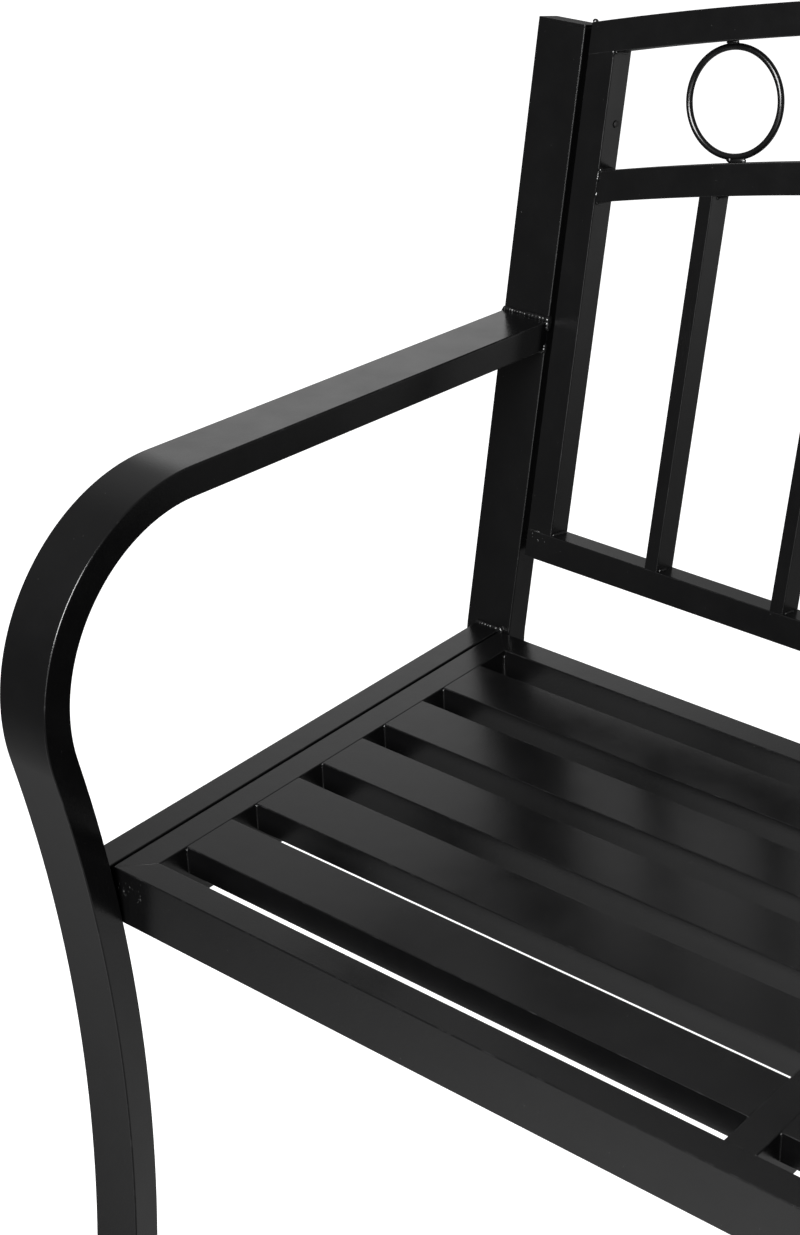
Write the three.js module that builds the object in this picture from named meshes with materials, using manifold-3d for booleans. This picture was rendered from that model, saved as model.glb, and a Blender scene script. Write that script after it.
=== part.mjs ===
// Garden bench in welded square and rectangular steel tube.
//
// Two side frames (arm and front leg in one bent tube, back upright and rear leg in another,
// and a seat rail between them) carry a slatted seat panel and an arched back panel.
// Units are millimetres, +X runs along the bench, +Y to the back, +Z up, and the origin is on
// the floor under the middle of the whole bench.

import * as THREE from 'three';
import { mergeVertices } from 'three/addons/utils/BufferGeometryUtils.js';
import Module from 'manifold-3d';

const wasm = await Module();
wasm.setup();

// ---------------------------------------------------------------- driving dimensions

// Tube stock
const WIDE = 40;                 // rectangular tube, wide side
const NARROW = 20;               // rectangular tube, narrow side, and the square tube
const FRAME_WIDE = 38;           // wide side of the tube the side frames are bent from
const BAR_WIDTH = 10;            // upright bars of the back, seen from the front
const WALL = 1;                  // wall of every tube
const WELD_GAP = 0.3;            // root gap left at every joint

// Seat
const SEAT_HEIGHT = 400;         // floor to the top of the slats
const SEAT_LENGTH = 1324;        // outside of the seat panel's end rails
const SEAT_DEPTH = 378;          // outside of the seat panel's front and back rails
const OUTER_BAY = 407;           // clear length between an end rail and a cross member
const SLAT_COUNT = 5;
const FRONT_SLAT_GAP = 22.7;     // between the front rail and the first slat
const SLAT_PITCH = 62;

// Side frames
const RAIL_CLEARANCE = 2;        // between the seat panel and a side frame's seat rail
const ARM_SLOPE = 2.6;           // degrees, the arm falls towards the back
const LOOP_RADIUS = 114.4;       // centreline of the bend from arm to front leg
const LOOP_Y = 78.4;             // centre of that bend, behind the seat panel's front face
const LOOP_Z = 112.2;            // centre of that bend, above the seat
const LEG_TURN = 12.6;           // degrees, where the loop passes into the leg's counter curve
const LEG_RADIUS = 1210;         // centreline of the front leg's counter curve
const FOOT_TURN = 15;            // degrees, the counter curve runs this far past the level
const UPRIGHT_Y = 379.8;         // front face of the upright at seat height
const RECLINE = 11;              // degrees, the back leans from the vertical
const UPRIGHT_TOP = 419.4;       // along the recline, from seat height
const KNEE_DROP = 21.6;          // the upright and the rear leg meet this far below the seat
const KNEE_RADIUS = 68.6;        // centreline of the bend there
const REAR_SPLAY = 21.7;         // degrees, the rear leg from the vertical
const TOP_PLATE = 2;             // plate that closes the top of an upright

// Back panel, heights measured along the recline from seat height
const STILE_SHADOW_GAP = 4.8;    // between an upright and the back panel
const LOWER_RAIL_BOTTOM = 59.4;
const ARCH_RADIUS = 2570;        // upper faces of the top and middle rails
const TOP_RAIL_APEX = 505.4;
const MIDDLE_RAIL_APEX = 408.8;
const BAR_COUNT = 12;
const BAR_PITCH = 99.3;
const RING_RADIUS = 33.8;        // centreline of a ring
const RING_ROD = 2.2;            // radius of the rod a ring is bent from
const WELD_PAD_WIDTH = 9;

// Bolts through the side frames into the back panel and the seat panel; their heads only
const BOLT_HEAD_RADIUS = 5.25;
const BOLT_HEAD_HEIGHT = 3;
const BACK_BOLT_DEPTH = 13;      // behind the upright's front face
const BACK_BOLT_HEIGHTS = [69.4, 360];
const SEAT_BOLT_PLACES = [70, 308];

// Foot plugs
const FOOT_FLANGE = 3;
const FOOT_PLUG = 16;            // length of the stem inside the tube
const PLUG_PLAY = 0.4;           // clearance of the stem inside the tube

const ARC_STEPS = { loop: 16, leg: 12, knee: 6, arch: 24, ring: 24, rod: 6, bolt: 16 };

const blackCoat = new THREE.MeshStandardMaterial({ color: 0x1c1c1d, roughness: 0.45, metalness: 0.55 });
const blackPlastic = new THREE.MeshStandardMaterial({ color: 0x141414, roughness: 0.7, metalness: 0 });

const AXIS_X = new THREE.Vector3(1, 0, 0);
const AXIS_Y = new THREE.Vector3(0, 1, 0);
const AXIS_Z = new THREE.Vector3(0, 0, 1);

// ---------------------------------------------------------------- solids

function radians(degrees) {
  return THREE.MathUtils.degToRad(degrees);
}

function solidOf(geometry) {
  const bare = geometry.clone();
  bare.deleteAttribute('normal');
  bare.deleteAttribute('uv');
  const merged = mergeVertices(bare, 1e-4);
  return new wasm.Manifold(new wasm.Mesh({
    numProp: 3,
    vertProperties: new Float32Array(merged.attributes.position.array),
    triVerts: new Uint32Array(merged.index.array),
  }));
}

function geometryOf(solid) {
  const mesh = solid.getMesh();
  const geometry = new THREE.BufferGeometry();
  geometry.setAttribute('position', new THREE.BufferAttribute(new Float32Array(mesh.vertProperties), 3));
  geometry.setIndex(new THREE.BufferAttribute(new Uint32Array(mesh.triVerts), 1));
  geometry.computeVertexNormals();
  return geometry;
}

function arcPoints(centre, radius, fromDegrees, toDegrees, steps) {
  const points = [];
  for (let i = 0; i <= steps; i += 1) {
    const angle = radians(THREE.MathUtils.lerp(fromDegrees, toDegrees, i / steps));
    points.push(new THREE.Vector2(
      centre.x + radius * Math.cos(angle),
      centre.y + radius * Math.sin(angle),
    ));
  }
  return points;
}

// An outline drawn in the side view (its x is the bench's Y, its y is Z), as wide as asked along X.
function sidePlate(points, width) {
  const geometry = new THREE.ExtrudeGeometry(new THREE.Shape(points), { depth: width, bevelEnabled: false });
  geometry.translate(0, 0, -width / 2);
  geometry.applyMatrix4(new THREE.Matrix4().makeBasis(AXIS_Y, AXIS_Z, AXIS_X));
  return solidOf(geometry);
}

// An outline drawn in the front view (its x is X, its y is Z), from depth `front` back to `back`.
function frontPlate(points, front, back) {
  const geometry = new THREE.ExtrudeGeometry(new THREE.Shape(points), {
    depth: back - front,
    bevelEnabled: false,
  });
  geometry.applyMatrix4(new THREE.Matrix4().makeBasis(AXIS_X, AXIS_Z, AXIS_Y.clone().negate()));
  geometry.translate(0, back, 0);
  return solidOf(geometry);
}

function rectangle(width, height) {
  return [
    new THREE.Vector2(-width / 2, -height / 2),
    new THREE.Vector2(width / 2, -height / 2),
    new THREE.Vector2(width / 2, height / 2),
    new THREE.Vector2(-width / 2, height / 2),
  ];
}

// A straight length of tube from `start` to `end`. `across` is the direction of its width.
// A skew tilts an end: its x or y is how far the end moves along the tube per unit of the section.
function beam(start, end, across, width, height, { wall = WALL, startSkew = {}, endSkew = {} } = {}) {
  const along = end.clone().sub(start);
  const length = along.length();
  along.normalize();
  const section = new THREE.Shape(rectangle(width, height));
  if (wall > 0) {
    section.holes.push(new THREE.Path(rectangle(width - 2 * wall, height - 2 * wall)));
  }
  const geometry = new THREE.ExtrudeGeometry(section, { depth: length, bevelEnabled: false });
  const position = geometry.attributes.position;
  for (let i = 0; i < position.count; i += 1) {
    const skew = position.getZ(i) > length / 2 ? endSkew : startSkew;
    const shift = (skew.x ?? 0) * position.getX(i) + (skew.y ?? 0) * position.getY(i);
    position.setZ(i, position.getZ(i) + shift);
  }
  const up = along.clone().cross(across);
  geometry.applyMatrix4(new THREE.Matrix4().makeBasis(across, up, along));
  geometry.translate(start.x, start.y, start.z);
  geometry.computeVertexNormals();
  return geometry;
}

function node(name, geometry, material = blackCoat) {
  const mesh = new THREE.Mesh(geometry, material);
  mesh.name = name;
  return mesh;
}

// ---------------------------------------------------------------- side frame outlines

// In the side view the seat panel's top front edge is at (0, 0).
const loopCentre = new THREE.Vector2(LOOP_Y, LOOP_Z);
const legCentre = new THREE.Vector2(LOOP_RADIUS + LEG_RADIUS, 0)
  .rotateAround(new THREE.Vector2(), radians(180 + LEG_TURN))
  .add(loopCentre);
const armDirection = new THREE.Vector2(Math.cos(radians(ARM_SLOPE)), -Math.sin(radians(ARM_SLOPE)));
const armNormal = new THREE.Vector2(-armDirection.y, armDirection.x);

function armLegOutline(half) {
  const armLength = UPRIGHT_Y + WIDE - LOOP_Y;
  const armEnd = loopCentre.clone()
    .addScaledVector(armDirection, armLength)
    .addScaledVector(armNormal, LOOP_RADIUS);
  const [armTurn, legTurn] = [90 - ARM_SLOPE, 180 + LEG_TURN];
  const outerLoop = arcPoints(loopCentre, LOOP_RADIUS + half, armTurn, legTurn, ARC_STEPS.loop);
  const frontOfLeg = arcPoints(legCentre, LEG_RADIUS - half, LEG_TURN, -FOOT_TURN, ARC_STEPS.leg);
  const backOfLeg = arcPoints(legCentre, LEG_RADIUS + half, -FOOT_TURN, LEG_TURN, ARC_STEPS.leg);
  const innerLoop = arcPoints(loopCentre, LOOP_RADIUS - half, legTurn, armTurn, ARC_STEPS.loop);
  return [
    armEnd.clone().addScaledVector(armNormal, half),
    ...outerLoop,
    ...frontOfLeg.slice(1),
    ...backOfLeg,
    ...innerLoop.slice(1),
    armEnd.clone().addScaledVector(armNormal, -half),
  ];
}

const upDirection = new THREE.Vector2(Math.sin(radians(RECLINE)), Math.cos(radians(RECLINE)));
const backDirection = new THREE.Vector2(upDirection.y, -upDirection.x);
const splayDirection = new THREE.Vector2(Math.sin(radians(REAR_SPLAY)), -Math.cos(radians(REAR_SPLAY)));
const splayNormal = new THREE.Vector2(-splayDirection.y, splayDirection.x);
const uprightBase = new THREE.Vector2(UPRIGHT_Y, 0).addScaledVector(backDirection, NARROW / 2);
const kneeTravel = (uprightBase.y + KNEE_DROP) / upDirection.y;
const kneeCorner = uprightBase.clone().addScaledVector(upDirection, -kneeTravel);
const kneeTangent = KNEE_RADIUS * Math.tan(radians((RECLINE + REAR_SPLAY) / 2));
const kneeCentre = kneeCorner.clone()
  .addScaledVector(upDirection, kneeTangent)
  .addScaledVector(backDirection, KNEE_RADIUS);
const rearFootTravel = (SEAT_HEIGHT - KNEE_DROP) / Math.cos(radians(REAR_SPLAY));
const rearFoot = kneeCorner.clone().addScaledVector(splayDirection, rearFootTravel);

function uprightOutline(half, topDrop) {
  const top = uprightBase.clone().addScaledVector(upDirection, UPRIGHT_TOP - topDrop);
  const foot = rearFoot.clone().addScaledVector(splayDirection, NARROW);
  return [
    top.clone().addScaledVector(backDirection, -half),
    ...arcPoints(kneeCentre, KNEE_RADIUS + half, 180 - RECLINE, 180 + REAR_SPLAY, ARC_STEPS.knee),
    foot.clone().addScaledVector(splayNormal, -half),
    foot.clone().addScaledVector(splayNormal, half),
    ...arcPoints(kneeCentre, KNEE_RADIUS - half, 180 + REAR_SPLAY, 180 - RECLINE, ARC_STEPS.knee),
    top.clone().addScaledVector(backDirection, half),
  ];
}

// Everything below a level, as wide and deep as the whole bench.
function groundBlock(level) {
  const size = 3 * SEAT_LENGTH;
  const geometry = new THREE.BoxGeometry(size, size, size);
  geometry.translate(0, 0, level - size / 2);
  return solidOf(geometry);
}

const tubeEndLevel = -SEAT_HEIGHT + FOOT_FLANGE + WELD_GAP;
const ground = groundBlock(tubeEndLevel);
const inside = NARROW / 2 - WALL;
const coped = NARROW / 2 + WELD_GAP;
const aroundArmLeg = sidePlate(armLegOutline(coped), 2 * WIDE);
const aroundUpright = sidePlate(uprightOutline(coped, -NARROW), 2 * WIDE);

function armAndFrontLeg() {
  const skin = sidePlate(armLegOutline(NARROW / 2), FRAME_WIDE);
  const bore = sidePlate(armLegOutline(inside), FRAME_WIDE - 2 * WALL);
  return geometryOf(skin.subtract(bore).subtract(aroundUpright).subtract(ground));
}

// A bolt head on the outer side of a tube, joined to the wall that it bears on.
// `face` is how far that side is from the tube's middle, `place` its side-view position.
function boltHead(sign, face, place) {
  const height = BOLT_HEAD_HEIGHT + WALL / 2;
  const geometry = new THREE.CylinderGeometry(BOLT_HEAD_RADIUS, BOLT_HEAD_RADIUS, height, ARC_STEPS.bolt);
  geometry.rotateZ(Math.PI / 2);
  geometry.translate(sign * (face + BOLT_HEAD_HEIGHT - height / 2), place.x, place.y);
  return solidOf(geometry);
}

function uprightAndRearLeg(sign) {
  const skin = sidePlate(uprightOutline(NARROW / 2, 0), FRAME_WIDE);
  const bore = sidePlate(uprightOutline(inside, TOP_PLATE), FRAME_WIDE - 2 * WALL);
  let tube = skin.subtract(bore).subtract(ground);
  for (const height of BACK_BOLT_HEIGHTS) {
    const place = new THREE.Vector2(UPRIGHT_Y, 0)
      .addScaledVector(backDirection, BACK_BOLT_DEPTH)
      .addScaledVector(upDirection, height);
    tube = tube.add(boltHead(sign, FRAME_WIDE / 2, place));
  }
  return geometryOf(tube);
}

function seatSupportRail(sign) {
  const start = new THREE.Vector3(0, -NARROW / 2, -WIDE / 2);
  const end = new THREE.Vector3(0, UPRIGHT_Y + NARROW / 2, -WIDE / 2);
  let rail = solidOf(beam(start, end, AXIS_X, NARROW, WIDE));
  for (const y of SEAT_BOLT_PLACES) {
    rail = rail.add(boltHead(sign, NARROW / 2, new THREE.Vector2(y, -WIDE / 2)));
  }
  return geometryOf(rail.subtract(aroundArmLeg).subtract(aroundUpright));
}

// A moulded plug: a flange the tube stands on and a stem inside the tube.
// `foot` is the tube's centreline at the floor, `lean` its direction going up.
function footPlug(foot, lean) {
  const run = lean.x / lean.y;
  const footprint = NARROW / lean.y;
  const flangeTop = -SEAT_HEIGHT + FOOT_FLANGE;
  const flange = beam(
    new THREE.Vector3(0, foot.x, -SEAT_HEIGHT),
    new THREE.Vector3(0, foot.x, flangeTop),
    AXIS_X, FRAME_WIDE, footprint, { wall: 0 },
  );
  const stemStart = flangeTop - FOOT_FLANGE / 2;
  const rise = FOOT_PLUG + FOOT_FLANGE / 2;
  const startY = foot.x + run * (stemStart + SEAT_HEIGHT);
  const stemWidth = FRAME_WIDE - 2 * (WALL + PLUG_PLAY);
  const stemDepth = NARROW - 2 * (WALL + PLUG_PLAY);
  const stem = beam(
    new THREE.Vector3(0, startY, stemStart),
    new THREE.Vector3(0, startY + run * rise, stemStart + rise),
    AXIS_X, stemWidth, stemDepth, { wall: 0, startSkew: { y: run }, endSkew: { y: run } },
  );
  return geometryOf(solidOf(flange).add(solidOf(stem)));
}

function frontFoot() {
  const drop = legCentre.y + SEAT_HEIGHT;
  const reach = Math.sqrt(LEG_RADIUS ** 2 - drop ** 2);
  const foot = new THREE.Vector2(legCentre.x + reach, -SEAT_HEIGHT);
  const lean = new THREE.Vector2(drop, reach).normalize();
  return footPlug(foot, lean);
}

function sideFrame(side, sign) {
  const group = new THREE.Group();
  group.add(node(`${side}_arm_and_front_leg`, armAndFrontLeg()));
  group.add(node(`${side}_upright_and_rear_leg`, uprightAndRearLeg(sign)));
  group.add(node(`${side}_seat_support_rail`, seatSupportRail(sign)));
  group.add(node(`${side}_front_foot_plug`, frontFoot(), blackPlastic));
  const rearLean = splayDirection.clone().negate();
  group.add(node(`${side}_rear_foot_plug`, footPlug(rearFoot, rearLean), blackPlastic));
  return group;
}

// ---------------------------------------------------------------- seat panel

// Plan positions inside the panel: x from its middle, y from its front face, top face at z = 0.
const railLevel = -WIDE / 2;
const slatLevel = -NARROW / 2;
const mitreRelief = WELD_GAP * Math.SQRT1_2;

function seatEndRail(sign) {
  const x = sign * (SEAT_LENGTH - NARROW) / 2;
  return beam(
    new THREE.Vector3(x, NARROW / 2 + mitreRelief, railLevel),
    new THREE.Vector3(x, SEAT_DEPTH - NARROW / 2 - mitreRelief, railLevel),
    AXIS_X, NARROW, WIDE, { startSkew: { x: -sign }, endSkew: { x: sign } },
  );
}

function seatLongRail(y, outward) {
  const reach = (SEAT_LENGTH - NARROW) / 2 - mitreRelief;
  return beam(
    new THREE.Vector3(-reach, y, railLevel),
    new THREE.Vector3(reach, y, railLevel),
    AXIS_Y, NARROW, WIDE, { startSkew: { x: -outward }, endSkew: { x: outward } },
  );
}

function seatPanel() {
  const group = new THREE.Group();
  group.add(node('seat_front_rail', seatLongRail(NARROW / 2, -1)));
  group.add(node('seat_back_rail', seatLongRail(SEAT_DEPTH - NARROW / 2, 1)));
  group.add(node('seat_left_end_rail', seatEndRail(-1)));
  group.add(node('seat_right_end_rail', seatEndRail(1)));

  const innerEnd = SEAT_LENGTH / 2 - NARROW;
  const crossOuter = innerEnd - OUTER_BAY;
  const crossInner = crossOuter - NARROW;
  const crossMiddle = (crossOuter + crossInner) / 2;
  for (const [side, sign] of [['left', -1], ['right', 1]]) {
    group.add(node(`seat_${side}_cross_member`, beam(
      new THREE.Vector3(sign * crossMiddle, NARROW + WELD_GAP, railLevel),
      new THREE.Vector3(sign * crossMiddle, SEAT_DEPTH - NARROW - WELD_GAP, railLevel),
      AXIS_X, NARROW, WIDE,
    )));
  }

  const bays = [
    ['left', -innerEnd, -crossOuter],
    ['middle', -crossInner, crossInner],
    ['right', crossOuter, innerEnd],
  ];
  for (let i = 0; i < SLAT_COUNT; i += 1) {
    const y = NARROW + FRONT_SLAT_GAP + WIDE / 2 + i * SLAT_PITCH;
    for (const [bay, from, to] of bays) {
      group.add(node(`seat_slat_${i + 1}_${bay}`, beam(
        new THREE.Vector3(from + WELD_GAP, y, slatLevel),
        new THREE.Vector3(to - WELD_GAP, y, slatLevel),
        AXIS_Y, WIDE, NARROW,
      )));
    }
  }
  return group;
}

// ---------------------------------------------------------------- back panel

// Positions inside the panel: x from its middle, y from its front face, z along the recline.
const panelEdge = SEAT_LENGTH / 2 + RAIL_CLEARANCE + NARROW / 2 - FRAME_WIDE / 2 - STILE_SHADOW_GAP;
const lowerRailTop = LOWER_RAIL_BOTTOM + NARROW;
const middleOfDepth = NARROW / 2;

function archHeight(apex, radius, x) {
  return apex - ARCH_RADIUS + Math.sqrt(radius ** 2 - x ** 2);
}

function archSlope(radius, x) {
  return -x / Math.sqrt(radius ** 2 - x ** 2);
}

// Points along one face of an arched rail, evenly spaced along X.
function archLine(apex, radius, from, to) {
  const points = [];
  for (let i = 0; i <= ARC_STEPS.arch; i += 1) {
    const x = THREE.MathUtils.lerp(from, to, i / ARC_STEPS.arch);
    points.push(new THREE.Vector2(x, archHeight(apex, radius, x)));
  }
  return points;
}

function archedRail(apex, reach) {
  const top = ARCH_RADIUS;
  const bottom = ARCH_RADIUS - NARROW;
  const skin = [...archLine(apex, bottom, -reach, reach), ...archLine(apex, top, reach, -reach)];
  const past = reach + NARROW;
  const bore = [
    ...archLine(apex, bottom + WALL, -past, past),
    ...archLine(apex, top - WALL, past, -past),
  ];
  return geometryOf(frontPlate(skin, 0, NARROW).subtract(frontPlate(bore, WALL, NARROW - WALL)));
}

// An upright of the back panel from the lower rail to the arch above it.
function panelUpright(x, width, apex) {
  const bottomFace = ARCH_RADIUS - NARROW;
  const top = archHeight(apex, bottomFace, x) - WELD_GAP;
  return beam(
    new THREE.Vector3(x, middleOfDepth, lowerRailTop + WELD_GAP),
    new THREE.Vector3(x, middleOfDepth, top),
    AXIS_X, width, NARROW, { endSkew: { x: archSlope(bottomFace, x) } },
  );
}

// A ring stands between the two arches, square to them, on a weld pad above and one below.
function ring(x) {
  const floor = archHeight(MIDDLE_RAIL_APEX, ARCH_RADIUS, x);
  const ceiling = archHeight(TOP_RAIL_APEX, ARCH_RADIUS - NARROW, x);
  const tilt = Math.atan(archSlope(ARCH_RADIUS, x));
  const clear = (ceiling - floor) * Math.cos(tilt);
  const y = NARROW - RING_ROD;
  const torus = new THREE.TorusGeometry(RING_RADIUS, RING_ROD, ARC_STEPS.rod, ARC_STEPS.ring);
  torus.rotateX(Math.PI / 2);
  let solid = solidOf(torus);
  for (const sign of [-1, 1]) {
    const pad = beam(
      new THREE.Vector3(0, 0, sign * RING_RADIUS),
      new THREE.Vector3(0, 0, sign * (clear / 2 - 2 * WELD_GAP)),
      AXIS_X, WELD_PAD_WIDTH, 2 * RING_ROD - WELD_GAP, { wall: 0 },
    );
    solid = solid.add(solidOf(pad));
  }
  const geometry = geometryOf(solid);
  geometry.rotateY(-tilt);
  geometry.translate(x, y, (floor + ceiling) / 2);
  return geometry;
}

function backPanel() {
  const group = new THREE.Group();
  const stileX = panelEdge - NARROW / 2;
  group.add(node('back_lower_rail', beam(
    new THREE.Vector3(-panelEdge, middleOfDepth, lowerRailTop - NARROW / 2),
    new THREE.Vector3(panelEdge, middleOfDepth, lowerRailTop - NARROW / 2),
    AXIS_Y, NARROW, NARROW,
  )));
  group.add(node('back_left_stile', panelUpright(-stileX, NARROW, TOP_RAIL_APEX)));
  group.add(node('back_right_stile', panelUpright(stileX, NARROW, TOP_RAIL_APEX)));
  group.add(node('back_top_rail', archedRail(TOP_RAIL_APEX, panelEdge)));
  group.add(node('back_middle_rail', archedRail(MIDDLE_RAIL_APEX, panelEdge - NARROW - WELD_GAP)));
  for (let i = 0; i < BAR_COUNT; i += 1) {
    const x = (i - (BAR_COUNT - 1) / 2) * BAR_PITCH;
    group.add(node(`back_bar_${i + 1}`, panelUpright(x, BAR_WIDTH, MIDDLE_RAIL_APEX)));
    group.add(node(`back_ring_${i + 1}`, ring(x)));
  }
  return group;
}

// ---------------------------------------------------------------- the bench

const frontReach = LOOP_Y - LOOP_RADIUS - NARROW / 2;
const rearReach = rearFoot.x + NARROW / 2 / Math.cos(radians(REAR_SPLAY));
const bench = new THREE.Group();
bench.position.set(0, -(frontReach + rearReach) / 2, SEAT_HEIGHT);

const frameMiddle = SEAT_LENGTH / 2 + RAIL_CLEARANCE + NARROW / 2;
for (const [side, sign] of [['left', -1], ['right', 1]]) {
  const frame = sideFrame(side, sign);
  frame.position.x = sign * frameMiddle;
  bench.add(frame);
}
bench.add(seatPanel());

const back = backPanel();
back.position.y = UPRIGHT_Y;
back.rotation.x = -radians(RECLINE);
bench.add(back);

export default bench;
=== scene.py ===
"""Looks of the garden bench: rounded steel tube, weld beads, bolts, foot plugs and their finishes.

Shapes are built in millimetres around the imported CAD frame, in the bench's own axes: +X along the
bench, +Y to the back, +Z up, the floor at z = 0. Objects are in metres.
"""

import math
import random

import bmesh
import bpy
import numpy as np
from mathutils import Matrix, Vector, noise


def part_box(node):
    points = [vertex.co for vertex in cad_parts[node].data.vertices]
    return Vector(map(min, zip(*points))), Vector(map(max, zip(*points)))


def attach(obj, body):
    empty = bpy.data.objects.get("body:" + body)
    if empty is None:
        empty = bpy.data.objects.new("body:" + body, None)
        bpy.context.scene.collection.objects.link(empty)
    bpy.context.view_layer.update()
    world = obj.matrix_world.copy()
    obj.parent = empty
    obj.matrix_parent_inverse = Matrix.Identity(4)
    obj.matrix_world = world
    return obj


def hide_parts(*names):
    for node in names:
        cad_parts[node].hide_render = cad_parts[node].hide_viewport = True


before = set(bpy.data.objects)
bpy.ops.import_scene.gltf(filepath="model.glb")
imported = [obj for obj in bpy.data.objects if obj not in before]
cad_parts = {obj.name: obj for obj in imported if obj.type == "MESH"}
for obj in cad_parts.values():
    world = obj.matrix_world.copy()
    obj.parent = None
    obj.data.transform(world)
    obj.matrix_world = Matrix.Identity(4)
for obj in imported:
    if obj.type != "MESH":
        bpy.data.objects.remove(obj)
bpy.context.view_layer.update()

MM = 0.001
BODY = "root"
STEEL_SLOT = "powder_coated_steel"
PLUG_SLOT = "foot_plastic"

# ---------------------------------------------------------------- dimensions, as in the CAD model

WIDE = 40.0                  # rectangular tube, wide side
NARROW = 20.0                # rectangular tube, narrow side, and the square tube
FRAME_WIDE = 38.0            # wide side of the tube the side frames are bent from
BAR_WIDTH = 10.0             # upright bars of the back
WALL = 1.0                   # wall thickness of every tube

SEAT_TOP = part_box("seat_front_rail")[1].z / MM
SEAT_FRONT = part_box("seat_front_rail")[0].y / MM
SEAT_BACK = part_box("seat_back_rail")[1].y / MM
SEAT_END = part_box("seat_front_rail")[1].x / MM

RAIL_CLEARANCE = 2.0         # between the seat panel and a side frame's seat rail
FRAME_MIDDLE = SEAT_END + RAIL_CLEARANCE + NARROW / 2

ARM_SLOPE = math.radians(2.6)
LOOP_RADIUS = 114.4          # centreline of the bend from arm to front leg
LOOP_Y = 78.4                # centre of that bend, behind the seat panel's front face
LOOP_Z = 112.2               # centre of that bend, above the seat
LEG_TURN = math.radians(12.6)
LEG_RADIUS = 1210.0
UPRIGHT_Y = 379.8            # front face of the upright at seat height
RECLINE = math.radians(11)
UPRIGHT_TOP = 419.4          # along the recline, from seat height
KNEE_DROP = 21.6             # upright and rear leg meet this far below the seat
KNEE_RADIUS = 68.6
REAR_SPLAY = math.radians(21.7)
TOP_PLATE = 2.0              # thickness of the plate that closes an upright
FOOT_FLANGE = 3.0            # thickness of a foot plug's flange

STILE_SHADOW_GAP = 4.8       # between an upright and the back panel
PANEL_EDGE = FRAME_MIDDLE - FRAME_WIDE / 2 - STILE_SHADOW_GAP
LOWER_RAIL_BOTTOM = 59.4     # heights in the back panel run along the recline from seat height
ARCH_RADIUS = 2570.0         # top face of the top and middle rails
TOP_RAIL_APEX = 505.4
MIDDLE_RAIL_APEX = 408.8
BAR_COUNT = 12
BAR_PITCH = 99.3
RING_RADIUS = 33.8           # to the middle of the rod
RING_ROD = 2.2               # radius of the rod

# Detail that the CAD model leaves out
TUBE_CORNER = 1.1            # outside radius of the side frames' tube
PANEL_CORNER = 0.8           # the seat and back panels' tube is a little sharper
BAR_CORNER = 0.6             # outside radius of the upright bars' corners
SEAM = 0.45                  # how far a welded end reaches into its neighbour's rounded edge
LIP = 0.4                    # rounding of a sawn tube end
LEG_OPEN = 6.0               # a leg is hollow this far above its foot plug
PLUG_GAP = 0.1               # between a plug's flange and the tube

# Bolts, of which the CAD model has only the heads
BOLT_DEPTH = 13.0            # bolts of the back panel, behind the upright's front face
BOLT_HEIGHTS = (360.0, 69.4)
SEAT_BOLTS = (70.0, 308.0)   # bolts of the seat panel, behind its front face
BOLT_SHANK = 2.5             # radius
BOLT_TIP = 1.6               # how far a bolt shows past a stile's inner face
SEAT_BOLT_BITE = 8.0         # how far a bolt reaches into the seat panel's end rail

# Steps along the curves
LIP_STEPS = 3
LOOP_STEPS = 56
LEG_STEPS = 32
KNEE_STEPS = 20
ARCH_STEPS = 72

# ---------------------------------------------------------------- mesh tools


def vec(x, y, z):
    return np.array((x, y, z), float)


def unit(v):
    return v / np.linalg.norm(v)


AXIS_X = vec(1, 0, 0)
AXIS_Y = vec(0, 1, 0)
AXIS_Z = vec(0, 0, 1)


def outline(width, height, radius, steps=5):
    """A rounded rectangle as a function of inset: rows of x, y, normal x, normal y, wear."""
    quadrants = [(1, 1), (-1, 1), (-1, -1), (1, -1)]

    def rows(inset=0.0):
        r = max(radius - inset, 0.05)
        reach_x = width / 2 - inset - r
        reach_y = height / 2 - inset - r
        made = []
        for quarter, (sx, sy) in enumerate(quadrants):
            for k in range(steps + 1):
                a = math.pi / 2 * (quarter + k / steps)
                nx, ny = math.cos(a), math.sin(a)
                wear = math.sin(math.pi * k / steps)
                made.append((sx * reach_x + r * nx, sy * reach_y + r * ny, nx, ny, wear))
        return np.array(made)

    return rows


class Shell:
    """Points, faces and exact corner normals of one piece, in millimetres."""

    def __init__(self):
        self.points = []
        self.wear = []
        self.faces = []
        self.normals = []

    def ring(self, points, wear):
        first = len(self.points)
        self.points.extend(points)
        self.wear.extend(wear)
        return list(range(first, first + len(points)))

    def strip(self, a, normals_a, b, normals_b):
        count = len(a)
        for i in range(count):
            j = (i + 1) % count
            self.faces.append((a[i], a[j], b[j], b[i]))
            self.normals.extend((normals_a[i], normals_a[j], normals_b[j], normals_b[i]))

    def cap(self, ring, normal, forward):
        self.faces.append(tuple(ring if forward else reversed(ring)))
        self.normals.extend([normal] * len(ring))

    def object(self, name, material):
        mesh = bpy.data.meshes.new(name)
        mesh.from_pydata([tuple(p * MM) for p in self.points], [], self.faces)
        mesh.shade_smooth()
        mesh.normals_split_custom_set([tuple(unit(n)) for n in self.normals])
        wear = mesh.attributes.new("wear", "FLOAT", "POINT")
        wear.data.foreach_set("value", np.array(self.wear, np.float32))
        mesh.materials.append(material)
        piece = bpy.data.objects.new(name, mesh)
        bpy.context.scene.collection.objects.link(piece)
        return piece


class Cut:
    """The plane a tube end is sawn on, its outward normal, and how deep the end is open."""

    def __init__(self, point, normal, hollow=0.0, lip=LIP):
        self.point = point
        self.normal = unit(normal)
        self.hollow = hollow
        self.lip = lip


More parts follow.
